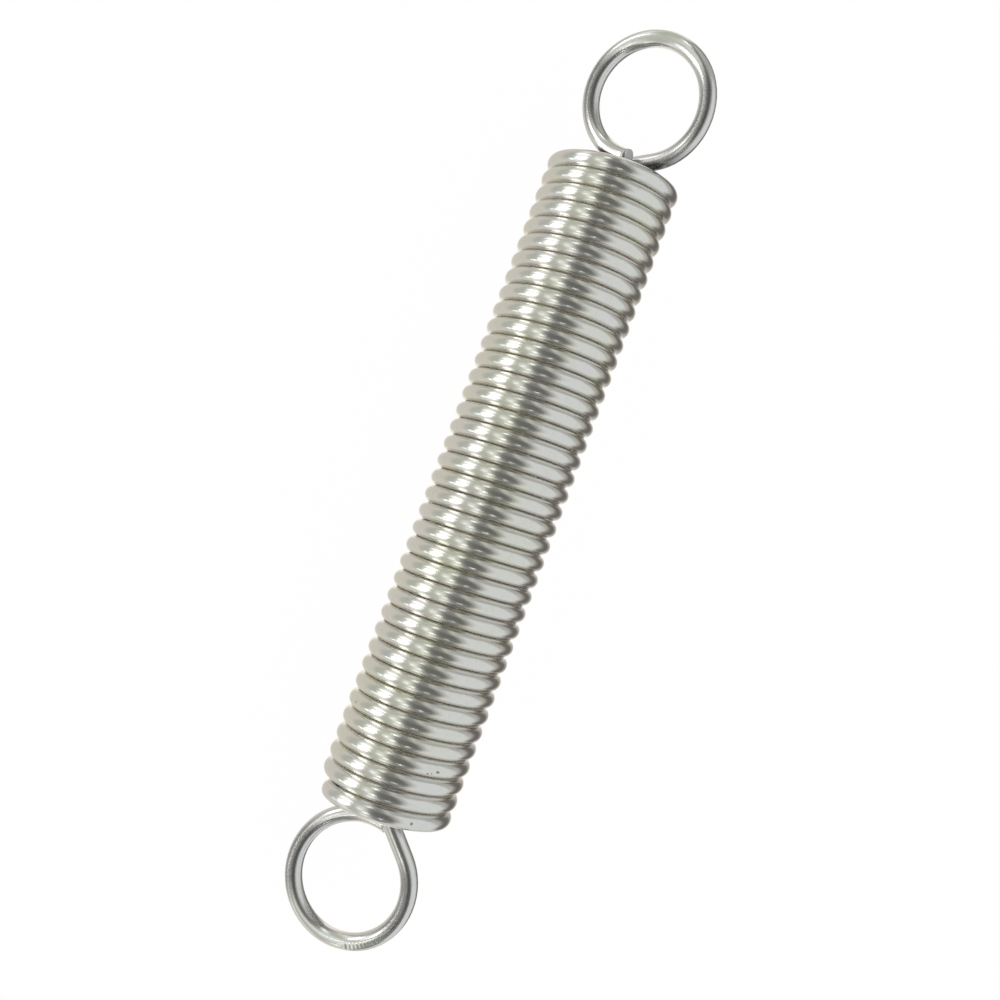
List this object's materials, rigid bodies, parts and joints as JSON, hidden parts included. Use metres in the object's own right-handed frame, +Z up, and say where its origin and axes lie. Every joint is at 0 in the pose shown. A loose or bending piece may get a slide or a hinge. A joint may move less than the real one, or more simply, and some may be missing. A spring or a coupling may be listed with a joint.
{
  "type": "extension spring",
  "caption": "Close-wound helical extension spring of plated round wire, with a full round eye over the centre at each end.",
  "frame": {"origin": "middle of the underside of the bounding box of the spring as it lies on its side", "axes": "+X along the coil towards the upper eye of the picture, whose free end shows; +Z up, away from the surface that the coil and the lower eye rest on; the side that the picture shows faces up, leaning 27 degrees towards +Y"},
  "size_m": [0.1102, 0.0156, 0.0176],
  "materials": {
    "plated_wire": "bright plated steel wire, faintly drawn along its length"
  },
  "bodies": {
    "root": {"spring": "plated_wire"}
  },
  "joints": []
}
